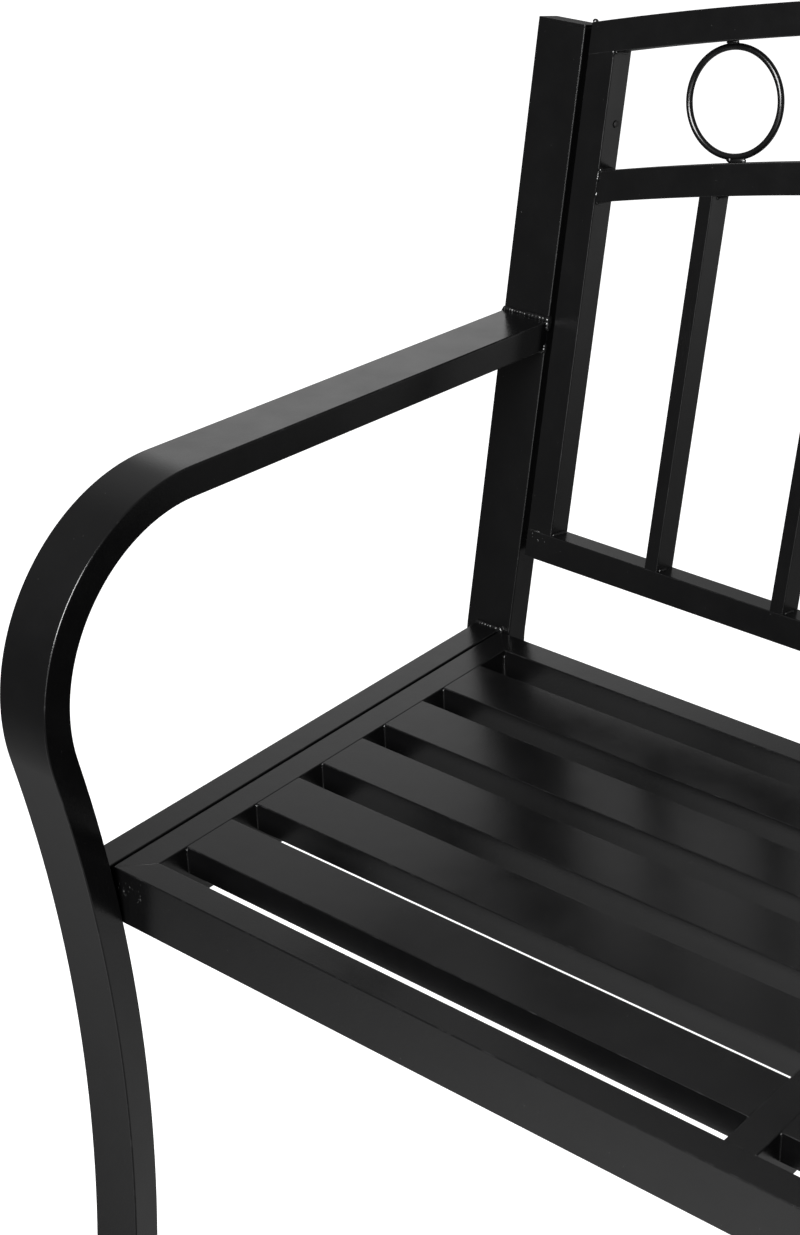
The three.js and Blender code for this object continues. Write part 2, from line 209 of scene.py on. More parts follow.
def sweep(shell, stations, section, start, end):
    """A closed tube through stations of (centre, right, up), its ends on two cuts."""
    full = section()

    def placed(station, rows):
        centre, right, up = station
        points = centre + rows[:, :1] * right + rows[:, 1:2] * up
        normals = rows[:, 2:3] * right + rows[:, 3:4] * up
        return points, normals

    def travel(station):
        return np.cross(station[1], station[2])

    def mouth(station, cut, forward):
        """The rings of one end, from the body outwards, and its cap."""
        along = travel(station) * (1 if forward else -1)

        def on_cut(rows, back):
            points, normals = placed(station, rows)
            reach = ((cut.point - points) @ cut.normal) / (along @ cut.normal)
            return points + (reach[:, None] - back) * along, normals

        made = []
        for k in range(LIP_STEPS + 1):
            a = math.pi / 2 * k / LIP_STEPS
            inset = cut.lip * (1 - math.cos(a))
            points, normals = on_cut(section(inset), cut.lip * (1 - math.sin(a)))
            tilted = math.cos(a) * normals + math.sin(a) * cut.normal
            wear = np.maximum(full[:, 4], math.sin(a))
            made.append((shell.ring(points, wear), tilted))
        flat = np.tile(cut.normal, (len(full), 1))
        inner = made[-1]
        closing = []
        if cut.hollow:
            rim, rim_normals = on_cut(section(WALL), 0)
            rim_ring = shell.ring(rim, full[:, 4])
            floor, _ = on_cut(section(WALL), cut.hollow)
            floor_ring = shell.ring(floor, full[:, 4] * 0)
            closing.append((inner[0], flat, rim_ring, flat))
            closing.append((rim_ring, -rim_normals, floor_ring, -rim_normals))
            inner = (floor_ring, flat)
        return made, closing, inner[0]

    def join(a, normals_a, b, normals_b, forward):
        if forward:
            shell.strip(a, normals_a, b, normals_b)
        else:
            shell.strip(b, normals_b, a, normals_a)

    first, first_closing, first_cap = mouth(stations[0], start, False)
    last, last_closing, last_cap = mouth(stations[-1], end, True)
    rings = [first[0]]
    for station in stations[1:-1]:
        points, normals = placed(station, full)
        rings.append((shell.ring(points, full[:, 4]), normals))
    rings.append(last[0])
    for (a, na), (b, nb) in zip(rings, rings[1:]):
        join(a, na, b, nb, True)
    for ends, closing, cap, forward, cut in (
        (first, first_closing, first_cap, False, start),
        (last, last_closing, last_cap, True, end),
    ):
        for (a, na), (b, nb) in zip(ends, ends[1:]):
            join(a, na, b, nb, forward)
        for a, na, b, nb in closing:
            join(a, na, b, nb, forward)
        shell.cap(cap, cut.normal, forward)


def straight(shell, begin, finish, right, section, start=None, end=None):
    """A straight tube. `right` is the direction of the section's first side."""
    along = unit(finish - begin)
    up = np.cross(along, right)
    stations = [(begin, right, up), (finish, right, up)]
    start = start or Cut(begin, -along)
    end = end or Cut(finish, along)
    sweep(shell, stations, section, start, end)


def ride(piece, slot, *nodes):
    """Ties a piece to the body and hides the CAD nodes it stands in for, if any; `slot` is not used."""
    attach(piece, BODY)
    if nodes:
        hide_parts(*nodes)


def coated_tube(shell, node):
    """Makes the piece that stands in for a CAD node's tube."""
    ride(shell.object(f"{node}_tube", COAT), STEEL_SLOT, node)


# ---------------------------------------------------------------- materials

# Colours in linear RGB, and ranges of roughness
COAT_TONES = ((0.0012, 0.0012, 0.0013), (0.0024, 0.0024, 0.0025))
COAT_RUBBED = (0.03, 0.03, 0.031)
COAT_SPECK = (0.05, 0.05, 0.05)
COAT_ROUGHNESS = (0.2, 0.27)
BOLT_TONES = ((0.012, 0.012, 0.013), (0.035, 0.034, 0.033))
BOLT_ROUGHNESS = (0.28, 0.45)
PLASTIC_TONES = ((0.011, 0.011, 0.011), (0.018, 0.018, 0.018))
PLASTIC_ROUGHNESS = (0.55, 0.7)


def node_of(tree, kind, **settings):
    made = tree.nodes.new(kind)
    for key, value in settings.items():
        setattr(made, key, value)
    return made


def noise_of(tree, scale, detail=2.0, roughness=0.5):
    """A noise texture in metres of the bench's own frame."""
    place = node_of(tree, "ShaderNodeTexCoord")
    made = node_of(tree, "ShaderNodeTexNoise")
    made.inputs["Scale"].default_value = scale
    made.inputs["Detail"].default_value = detail
    made.inputs["Roughness"].default_value = roughness
    tree.links.new(place.outputs["Object"], made.inputs["Vector"])
    return made.outputs["Fac"]


def ranged(tree, value, low, high, to_low, to_high):
    """A value mapped from one range to another and held at its ends."""
    made = node_of(tree, "ShaderNodeMapRange")
    made.inputs["From Min"].default_value = low
    made.inputs["From Max"].default_value = high
    made.inputs["To Min"].default_value = to_low
    made.inputs["To Max"].default_value = to_high
    tree.links.new(value, made.inputs["Value"])
    return made.outputs["Result"]


def mixed(tree, factor, first, second):
    """A colour between two, either of which is a colour or a socket."""
    made = node_of(tree, "ShaderNodeMix", data_type="RGBA")
    tree.links.new(factor, made.inputs[0])
    for socket, colour in ((made.inputs[6], first), (made.inputs[7], second)):
        if isinstance(colour, tuple):
            socket.default_value = (*colour, 1.0)
        else:
            tree.links.new(colour, socket)
    return made.outputs[2]


def arithmetic(tree, operation, first, second):
    made = node_of(tree, "ShaderNodeMath", operation=operation)
    tree.links.new(first, made.inputs[0])
    tree.links.new(second, made.inputs[1])
    return made.outputs[0]


def bumped(tree, height, distance, strength, under=None):
    """A normal tilted by a height in metres, on top of another normal if one is given."""
    made = node_of(tree, "ShaderNodeBump")
    made.inputs["Strength"].default_value = strength
    made.inputs["Distance"].default_value = distance
    tree.links.new(height, made.inputs["Height"])
    if under:
        tree.links.new(under, made.inputs["Normal"])
    return made.outputs["Normal"]


def new_material(name):
    material = bpy.data.materials.new(name)
    material.use_nodes = True
    return material, material.node_tree, material.node_tree.nodes["Principled BSDF"]


def powder_coat():
    """Satin black powder coat: fine orange peel, cloudy gloss, thin and rubbed on the edges."""
    material, tree, shader = new_material("satin_black_powder_coat")
    cloud = noise_of(tree, 7.0, 3.0)
    tone = mixed(tree, cloud, *COAT_TONES)
    rub = noise_of(tree, 95.0, 4.0, 0.65)
    edge = node_of(tree, "ShaderNodeAttribute", attribute_name="wear").outputs["Fac"]
    worn = arithmetic(tree, "MULTIPLY", edge, ranged(tree, rub, 0.55, 0.75, 0.0, 0.55))
    tone = mixed(tree, worn, tone, COAT_RUBBED)
    specks = ranged(tree, noise_of(tree, 620.0, 1.0), 0.795, 0.83, 0.0, 0.6)
    tone = mixed(tree, specks, tone, COAT_SPECK)
    tree.links.new(tone, shader.inputs["Base Color"])
    gloss = ranged(tree, noise_of(tree, 38.0, 5.0, 0.6), 0.3, 0.7, *COAT_ROUGHNESS)
    tree.links.new(gloss, shader.inputs["Roughness"])
    peel = bumped(tree, noise_of(tree, 780.0, 2.0), 0.00012, 0.35)
    waves = bumped(tree, noise_of(tree, 60.0, 2.0), 0.0004, 0.12, peel)
    tree.links.new(waves, shader.inputs["Normal"])
    shader.inputs["IOR"].default_value = 1.5
    return material


def bolt_black():
    """Blackened bolt steel, oily and a little uneven."""
    material, tree, shader = new_material("blackened_bolt_steel")
    cloud = noise_of(tree, 420.0, 3.0)
    tone = mixed(tree, cloud, *BOLT_TONES)
    tree.links.new(tone, shader.inputs["Base Color"])
    shader.inputs["Metallic"].default_value = 0.6
    gloss = ranged(tree, noise_of(tree, 900.0, 3.0), 0.3, 0.7, *BOLT_ROUGHNESS)
    tree.links.new(gloss, shader.inputs["Roughness"])
    fine = bumped(tree, noise_of(tree, 2400.0, 2.0), 0.00004, 0.3)
    tree.links.new(fine, shader.inputs["Normal"])
    return material


def moulded_plastic():
    """Matt black moulded plastic with a fine spark-eroded grain."""
    material, tree, shader = new_material("moulded_black_plastic")
    cloud = noise_of(tree, 40.0, 3.0)
    tone = mixed(tree, cloud, *PLASTIC_TONES)
    tree.links.new(tone, shader.inputs["Base Color"])
    gloss = ranged(tree, noise_of(tree, 160.0, 4.0), 0.3, 0.7, *PLASTIC_ROUGHNESS)
    tree.links.new(gloss, shader.inputs["Roughness"])
    grain = bumped(tree, noise_of(tree, 1800.0, 3.0), 0.00008, 0.6)
    tree.links.new(grain, shader.inputs["Normal"])
    return material


COAT = powder_coat()
BOLT = bolt_black()
PLASTIC = moulded_plastic()

# ---------------------------------------------------------------- seat panel

TUBE = outline(NARROW, WIDE, PANEL_CORNER)
SLAT = outline(WIDE, NARROW, PANEL_CORNER)
LEG = outline(FRAME_WIDE, NARROW, TUBE_CORNER)
SQUARE = outline(NARROW, NARROW, PANEL_CORNER)
BAR = outline(BAR_WIDTH, NARROW, BAR_CORNER)


def corners(node):
    """The low and high corners of a CAD node's box, in millimetres."""
    low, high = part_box(node)
    return np.array(low) / MM, np.array(high) / MM


def seat_long_rail(name, outward):
    low, high = corners(name)
    _, y, z = (low + high) / 2
    shell = Shell()
    outer_y = high[1] if outward > 0 else low[1]
    start = Cut(vec(-SEAT_END, outer_y, z), vec(-1, -outward, 0))
    end = Cut(vec(SEAT_END, outer_y, z), vec(1, -outward, 0))
    straight(shell, vec(low[0], y, z), vec(high[0], y, z), AXIS_Y, TUBE, start, end)
    coated_tube(shell, name)


def seat_end_rail(side, sign):
    name = f"seat_{side}_end_rail"
    low, high = corners(name)
    x, _, z = (low + high) / 2
    shell = Shell()
    start = Cut(vec(sign * SEAT_END, SEAT_FRONT, z), vec(-sign, -1, 0))
    end = Cut(vec(sign * SEAT_END, SEAT_BACK, z), vec(-sign, 1, 0))
    straight(shell, vec(x, SEAT_FRONT, z), vec(x, SEAT_BACK, z), -AXIS_X, TUBE, start, end)
    coated_tube(shell, name)


def seat_cross_member(side):
    name = f"seat_{side}_cross_member"
    low, high = corners(name)
    x, _, z = (low + high) / 2
    shell = Shell()
    begin = vec(x, low[1] - SEAM, z)
    finish = vec(x, high[1] + SEAM, z)
    straight(shell, begin, finish, -AXIS_X, TUBE)
    coated_tube(shell, name)


def seat_slat(name):
    low, high = corners(name)
    _, y, z = (low + high) / 2
    shell = Shell()
    begin = vec(low[0] - SEAM, y, z)
    finish = vec(high[0] + SEAM, y, z)
    straight(shell, begin, finish, AXIS_Y, SLAT)
    coated_tube(shell, name)


def seat_panel():
    seat_long_rail("seat_front_rail", -1)
    seat_long_rail("seat_back_rail", 1)
    for side, sign in (("left", -1), ("right", 1)):
        seat_end_rail(side, sign)
        seat_cross_member(side)
    for name in sorted(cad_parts):
        if name.startswith("seat_slat_"):
            seat_slat(name)


# ---------------------------------------------------------------- side frames


def side_point(x, y, z):
    """A point from the side view's own origin, the seat panel's top front edge."""
    return vec(x, SEAT_FRONT + y, SEAT_TOP + z)


def arc(centre, radius, begin, finish, steps):
    """Centres and outward directions along an arc of the side view, by angle from +Y."""
    made = []
    for k in range(steps + 1):
        a = begin + (finish - begin) * k / steps
        out = (math.cos(a), math.sin(a))
        made.append((centre[0] + radius * out[0], centre[1] + radius * out[1], out))
    return made


UP = (math.sin(RECLINE), math.cos(RECLINE))
BACK = (UP[1], -UP[0])
SPLAY = (math.sin(REAR_SPLAY), -math.cos(REAR_SPLAY))
LEG_CENTRE = (
    LOOP_Y - (LOOP_RADIUS + LEG_RADIUS) * math.cos(LEG_TURN),
    LOOP_Z - (LOOP_RADIUS + LEG_RADIUS) * math.sin(LEG_TURN),
)
UPRIGHT_BASE = (UPRIGHT_Y + BACK[0] * NARROW / 2, BACK[1] * NARROW / 2)
KNEE_TRAVEL = (UPRIGHT_BASE[1] + KNEE_DROP) / UP[1]
KNEE_CORNER = (UPRIGHT_BASE[0] - UP[0] * KNEE_TRAVEL, UPRIGHT_BASE[1] - UP[1] * KNEE_TRAVEL)
KNEE_TANGENT = KNEE_RADIUS * math.tan((RECLINE + REAR_SPLAY) / 2)
KNEE_CENTRE = (
    KNEE_CORNER[0] + UP[0] * KNEE_TANGENT + BACK[0] * KNEE_RADIUS,
    KNEE_CORNER[1] + UP[1] * KNEE_TANGENT + BACK[1] * KNEE_RADIUS,
)
TUBE_FOOT = FOOT_FLANGE + PLUG_GAP - SEAT_TOP


def leg_angle(z):
    """Angle on the front leg's curve at a height above the seat."""
    return math.asin((z - LEG_CENTRE[1]) / LEG_RADIUS)


def leg_front(z, offset=0.0):
    """The front leg's centreline y at a height, moved square to it by offset."""
    reach = LEG_RADIUS + offset
    return LEG_CENTRE[0] + math.sqrt(reach**2 - (z - LEG_CENTRE[1]) ** 2)


def arm_and_front_leg(side, sign):
    x = sign * FRAME_MIDDLE
    arm_along = (math.cos(ARM_SLOPE), -math.sin(ARM_SLOPE))
    arm_out = (math.sin(ARM_SLOPE), math.cos(ARM_SLOPE))
    arm_length = UPRIGHT_Y + WIDE - LOOP_Y
    line = [(
        LOOP_Y + arm_along[0] * arm_length + arm_out[0] * LOOP_RADIUS,
        LOOP_Z + arm_along[1] * arm_length + arm_out[1] * LOOP_RADIUS,
        arm_out,
    )]
    line += arc((LOOP_Y, LOOP_Z), LOOP_RADIUS, math.pi / 2 - ARM_SLOPE, math.pi + LEG_TURN, LOOP_STEPS)
    for y, z, out in arc(LEG_CENTRE, LEG_RADIUS, LEG_TURN, leg_angle(TUBE_FOOT), LEG_STEPS)[1:]:
        line.append((y, z, (-out[0], -out[1])))
    stations = [(side_point(x, y, z), AXIS_X, vec(0, *out)) for y, z, out in line]
    start = Cut(side_point(x, UPRIGHT_Y + SEAM * BACK[0], SEAM * BACK[1]), vec(0, *BACK))
    end = Cut(side_point(x, 0, TUBE_FOOT), -AXIS_Z, hollow=LEG_OPEN)
    shell = Shell()
    sweep(shell, stations, LEG, start, end)
    coated_tube(shell, f"{side}_arm_and_front_leg")


def upright_and_rear_leg(side, sign):
    x = sign * FRAME_MIDDLE
    forward = vec(0, -BACK[0], -BACK[1])
    top_height = UPRIGHT_TOP - TOP_PLATE
    top = side_point(x, UPRIGHT_BASE[0] + UP[0] * top_height, UPRIGHT_BASE[1] + UP[1] * top_height)
    stations = [(top, AXIS_X, forward)]
    for y, z, out in arc(KNEE_CENTRE, KNEE_RADIUS, math.pi - RECLINE, math.pi + REAR_SPLAY, KNEE_STEPS):
        stations.append((side_point(x, y, z), AXIS_X, vec(0, *out)))
    splay_out = vec(0, SPLAY[1], -SPLAY[0])
    travel = (KNEE_CORNER[1] - TUBE_FOOT) / -SPLAY[1]
    foot_y = KNEE_CORNER[0] + SPLAY[0] * travel
    stations.append((side_point(x, foot_y, TUBE_FOOT), AXIS_X, splay_out))
    shell = Shell()
    start = Cut(top, vec(0, *UP))
    end = Cut(side_point(x, 0, TUBE_FOOT), -AXIS_Z, hollow=LEG_OPEN)
    sweep(shell, stations, LEG, start, end)
    coated_tube(shell, f"{side}_upright_and_rear_leg")
    plate = Shell()
    up = vec(0, *UP)
    straight(plate, top, top + up * TOP_PLATE, AXIS_X, LEG)
    ride(plate.object(f"{side}_upright_top_plate", COAT), STEEL_SLOT)


def seat_support_rail(side, sign):
    x = sign * FRAME_MIDDLE
    middle = -WIDE / 2
    front_top = leg_front(0, NARROW / 2)
    front_bottom = leg_front(-WIDE, NARROW / 2)
    lean = unit(vec(0, -WIDE, front_top - front_bottom))
    start = Cut(side_point(x, front_top - SEAM, 0), lean)
    back_plane = Cut(side_point(x, UPRIGHT_Y + SEAM, 0), vec(0, *BACK))
    shell = Shell()
    begin = side_point(x, 0, middle)
    finish = side_point(x, UPRIGHT_Y, middle)
    straight(shell, begin, finish, -AXIS_X, TUBE, start, back_plane)
    coated_tube(shell, f"{side}_seat_support_rail")


PLUG_CORNER = TUBE_CORNER + 0.3
PLUG_HOLLOW = 1.6            # depth of the underside
RIB_THICKNESS = 1.2
RIB_MARGIN = 1.2             # from a rib's end to the plug's side
RIB_CORNER = 0.3
RIB_BOTTOM = 0.25            # a rib stands just clear of the floor
RIB_TOP = 1.7


def foot_plug(name, x, y, depth):
    """A moulded flange under a tube end, with three ribs across its hollow underside."""
    shell = Shell()
    section = outline(FRAME_WIDE, depth, PLUG_CORNER)
    bottom = vec(x, y, 0)
    top = vec(x, y, FOOT_FLANGE)
    start = Cut(bottom, -AXIS_Z, hollow=PLUG_HOLLOW, lip=0.7)
    end = Cut(top, AXIS_Z, lip=0.35)
    straight(shell, bottom, top, AXIS_X, section, start, end)
    rib = outline(RIB_THICKNESS, depth - 2 * RIB_MARGIN, RIB_CORNER, 2)
    for offset in (-FRAME_WIDE / 4, 0, FRAME_WIDE / 4):
        low = vec(x + offset, y, RIB_BOTTOM)
        high = vec(x + offset, y, RIB_TOP)
        straight(shell, low, high, AXIS_X, rib, Cut(low, -AXIS_Z, lip=0.15), Cut(high, AXIS_Z, lip=0.1))
    ride(shell.object(f"{name}_moulding", PLASTIC), PLUG_SLOT, name)


def side_frame(side, sign):
    arm_and_front_leg(side, sign)
    upright_and_rear_leg(side, sign)
    seat_support_rail(side, sign)
    for end in ("front", "rear"):
        name = f"{side}_{end}_foot_plug"
        if end == "front":
            lean = math.cos(leg_angle(-SEAT_TOP))
            y = SEAT_FRONT + leg_front(-SEAT_TOP)
        else:
            lean = math.cos(REAR_SPLAY)
            travel = (KNEE_CORNER[1] + SEAT_TOP) / lean
            y = SEAT_FRONT + KNEE_CORNER[0] + SPLAY[0] * travel
        foot_plug(name, sign * FRAME_MIDDLE, y, NARROW / lean)


# ---------------------------------------------------------------- back panel

PANEL_UP = vec(0, *UP)
PANEL_BACK = vec(0, *BACK)
PANEL_ORIGIN = side_point(0, UPRIGHT_Y, 0)
MIDDLE_OF_DEPTH = NARROW / 2


def panel_point(x, depth, height):
    """A point of the back panel: along X, back from its front face, up along the recline."""
    return PANEL_ORIGIN + AXIS_X * x + PANEL_BACK * depth + PANEL_UP * height


def arch_height(apex, drop, x):
    """Height of the arch whose crown is at apex, measured on the arc `drop` below it."""
    return apex - ARCH_RADIUS + math.sqrt((ARCH_RADIUS - drop) ** 2 - x**2)


def arch_normal(drop, x):
    """Direction square to that arc at x, pointing up."""
    radius = ARCH_RADIUS - drop
    return unit(AXIS_X * x + PANEL_UP * math.sqrt(radius**2 - x**2))


def arched_rail(name, apex, reach):
    middle = NARROW / 2
    stations = []
    for k in range(ARCH_STEPS + 1):
        x = -reach + 2 * reach * k / ARCH_STEPS
        out = arch_normal(middle, x)
        along_rail = np.cross(PANEL_BACK, out)
        centre = panel_point(x, MIDDLE_OF_DEPTH, arch_height(apex, middle, x))
        right = np.cross(out, along_rail)
        stations.append((centre, right, out))
    start = Cut(panel_point(-reach, 0, 0), -AXIS_X)
    end = Cut(panel_point(reach, 0, 0), AXIS_X)
    shell = Shell()
    sweep(shell, stations, SQUARE, start, end)
    coated_tube(shell, name)


def panel_upright(name, x, section, apex):
    """A stile or bar, from the lower rail up to the arched rail whose crown is at apex."""
    bottom = panel_point(x, MIDDLE_OF_DEPTH, LOWER_RAIL_BOTTOM + NARROW - SEAM)
    height = arch_height(apex, NARROW, x) + SEAM
    top = panel_point(x, MIDDLE_OF_DEPTH, height)
    shell = Shell()
    straight(shell, bottom, top, AXIS_X, section, end=Cut(top, arch_normal(NARROW, x)))
    coated_tube(shell, name)


ROD_WEAR = 0.25              # a round rod has no edges, but is handled a little


def rod_loop(shell, centre, across, up, radius, rod, around=96, section=14):
    """A ring of round rod in the plane of `across` and `up`."""
    facing = np.cross(across, up)
    rings = []
    for i in range(around):
        a = 2 * math.pi * i / around
        out = across * math.cos(a) + up * math.sin(a)
        points, normals = [], []
        for j in range(section):
            b = 2 * math.pi * j / section
            n = out * math.cos(b) - facing * math.sin(b)
            normals.append(n)
            points.append(centre + out * radius + n * rod)
        rings.append((shell.ring(points, [ROD_WEAR] * section), normals))
    for (a, na), (b, nb) in zip(rings, rings[1:] + rings[:1]):
        shell.strip(a, na, b, nb)


def back_ring(number, x):
    """One ring between the arched rails, flush with the panel's back face."""
    low = arch_height(MIDDLE_RAIL_APEX, 0, x)
    high = arch_height(TOP_RAIL_APEX, NARROW, x)
    up = arch_normal(0, x)
    across = np.cross(PANEL_BACK, up)
    centre = panel_point(x, NARROW - RING_ROD, (low + high) / 2)
    shell = Shell()
    rod_loop(shell, centre, across, up, RING_RADIUS, RING_ROD)
    name = f"back_ring_{number}"
    ride(shell.object(f"{name}_rod", COAT), STEEL_SLOT, name)
    return centre, across, up


def bar_place(number):
    """X of an upright bar and of the ring above it, counted from 0 at the left."""
    return (number - (BAR_COUNT - 1) / 2) * BAR_PITCH


def back_panel():
    """Every tube and ring of the back. Returns where the rings are, for their welds."""
    shell = Shell()
    height = LOWER_RAIL_BOTTOM + NARROW / 2
    begin = panel_point(-PANEL_EDGE, MIDDLE_OF_DEPTH, height)
    finish = panel_point(PANEL_EDGE, MIDDLE_OF_DEPTH, height)
    straight(shell, begin, finish, PANEL_BACK, SQUARE)
    coated_tube(shell, "back_lower_rail")
    stile = PANEL_EDGE - NARROW / 2
    panel_upright("back_left_stile", -stile, SQUARE, TOP_RAIL_APEX)
    panel_upright("back_right_stile", stile, SQUARE, TOP_RAIL_APEX)
    arched_rail("back_top_rail", TOP_RAIL_APEX, PANEL_EDGE)
    arched_rail("back_middle_rail", MIDDLE_RAIL_APEX, PANEL_EDGE - NARROW + SEAM)
    rings = []
    for number in range(1, BAR_COUNT + 1):
        x = bar_place(number - 1)
        panel_upright(f"back_bar_{number}", x, BAR, MIDDLE_RAIL_APEX)
        rings.append(back_ring(number, x))
    return rings


# ---------------------------------------------------------------- welds

SIDE_FRAME_SEED = 11
SEAT_SEED = 29
BACK_SEED = 47

# Radius of each bead
BEAD = 1.9
ARM_BEADS = {-1: 2.0, 1: 2.7}    # over the arm's end, on its -X and +X halves
RAIL_BEAD = 2.2              # top of the seat support rail, on the upright
UNDER_BEAD = 1.7             # joints seen from below, and the support rail on the front leg
MITRE_BEAD = 1.1             # mitres of the seat frame, and the stiles' feet at the front
CORNER_BEAD = 1.3            # inside corners of the seat frame, and the ends of the bars
MEMBER_BEAD = 1.2            # sides of a cross member
SLAT_BEAD = 1.6              # under a slat's end
SLAT_SIDE_BEAD = 0.9
STILE_BEAD = 1.5             # arched rails on the stiles
STILE_FOOT_BEAD = 1.6        # inner side of a stile's foot

# Shape of the weld metal, in parts of its own radius
BEAD_STEP = 0.32             # between two rings of a bead
BEAD_TAPER = 1.6             # an end thins out over this length
BEAD_BODY = 0.93             # mean radius
BEAD_SWELL = 0.3             # most that the radius drifts along a bead
BEAD_SWELL_LENGTH = 5        # length of that drift
PIT_DEPTH = 0.12
PIT_DENSITY = 1.1
LUMP_DENSITY = 1.3


class Welds:
    """Beads, tacks and spatter of weld metal, gathered into one piece."""

    def __init__(self, seed):
        self.mesh = bmesh.new()
        self.chance = random.Random(seed)

    def bead(self, path, radius=BEAD, ripple=0.13, around=10):
        """Weld metal laid along a path of corner points, tapering out at both ends."""
        path = [np.array(p, float) for p in path]
        spacing = radius * BEAD_STEP
        points = []
        for a, b in zip(path, path[1:]):
            count = max(2, int(np.linalg.norm(b - a) / spacing))
            points += [a + (b - a) * k / count for k in range(count)]
        points = np.array(points + [path[-1]])
        smoothing_passes = 3
        for _ in range(smoothing_passes):
            points[1:-1] = (points[:-2] + 2 * points[1:-1] + points[2:]) / 4
        run = np.concatenate([[0], np.cumsum(np.linalg.norm(np.diff(points, axis=0), axis=1))])
        phase = self.chance.uniform(0, 6)
        drift = self.chance.uniform(0, 900)
        pitch = radius * self.chance.uniform(0.95, 1.15)
        side = unit(np.cross(points[1] - points[0], (0.31, 0.52, 0.79)))
        rings = []
        for k, point in enumerate(points):
            ahead = points[min(k + 1, len(points) - 1)] - points[max(k - 1, 0)]
            along = unit(ahead)
            side = unit(side - along * (side @ along))
            other = np.cross(along, side)
            margin = min(run[k], run[-1] - run[k]) / (BEAD_TAPER * radius)
            taper = math.sqrt(max(0.02, 1 - (1 - min(margin, 1)) ** 2))
            swell = noise.noise(Vector((run[k] / (BEAD_SWELL_LENGTH * radius), drift, 0)))
            wave = math.sin(2 * math.pi * run[k] / pitch + phase)
            size = radius * taper * (BEAD_BODY + ripple * wave + BEAD_SWELL * swell)
            ring = []
            for j in range(around):
                a = 2 * math.pi * j / around
                out = side * math.cos(a) + other * math.sin(a)
                place = (point + out * radius) / radius * PIT_DENSITY
                pit = 1 + PIT_DEPTH * noise.noise(Vector(tuple(place)))
                ring.append(self.mesh.verts.new(tuple((point + out * size * pit) * MM)))
            rings.append(ring)
        for a, b in zip(rings, rings[1:]):
            for j in range(around):
                k = (j + 1) % around
                self.mesh.faces.new((a[j], a[k], b[k], b[j]))
        self.mesh.faces.new(reversed(rings[0]))
        self.mesh.faces.new(rings[-1])

    def lump(self, centre, across, up, size, rough=0.22):
        """A blob with half-sizes along across, up and square to both."""
        made = bmesh.ops.create_icosphere(self.mesh, subdivisions=3, radius=1.0)
        out = np.cross(across, up)
        drift = self.chance.uniform(0, 900)
        for vert in made["verts"]:
            c = vert.co
            x, y, z = c.x * LUMP_DENSITY, c.y * LUMP_DENSITY, c.z * LUMP_DENSITY
            swell = 1 + rough * noise.noise(Vector((x + drift, y, z)))
            place = across * (c.x * size[0]) + up * (c.y * size[1]) + out * (c.z * size[2])
            vert.co = tuple((centre + place * swell) * MM)

    def spatter(self, centre, across, up, reach, count, largest=0.7):
        """Small balls of metal thrown onto a face that `across` and `up` lie in."""
        for _ in range(count):
            a = self.chance.uniform(0, 2 * math.pi)
            far = math.sqrt(self.chance.random())
            size = largest * self.chance.uniform(0.35, 1.0) ** 1.5
            place = centre + across * (reach[0] * far * math.cos(a)) + up * (reach[1] * far * math.sin(a))
            self.lump(place, across, up, (size, size, size * 0.6))

    def object(self, name):
        mesh = bpy.data.meshes.new(name)
        self.mesh.to_mesh(mesh)
        self.mesh.free()
        mesh.shade_smooth()
        mesh.materials.append(COAT)
        piece = bpy.data.objects.new(name, mesh)
        bpy.context.scene.collection.objects.link(piece)
        ride(piece, STEEL_SLOT)


def arm_meeting(offset):
    """Side-view point where a line `offset` above the arm's middle meets the upright's front."""
    along = (math.cos(ARM_SLOPE), -math.sin(ARM_SLOPE))
    out = (math.sin(ARM_SLOPE), math.cos(ARM_SLOPE))
    y = LOOP_Y + out[0] * (LOOP_RADIUS + offset)
    z = LOOP_Z + out[1] * (LOOP_RADIUS + offset)
    lean = UP[0] / UP[1]
    travel = (UPRIGHT_Y + lean * z - y) / (along[0] - lean * along[1])
    return y + along[0] * travel, z + along[1] * travel


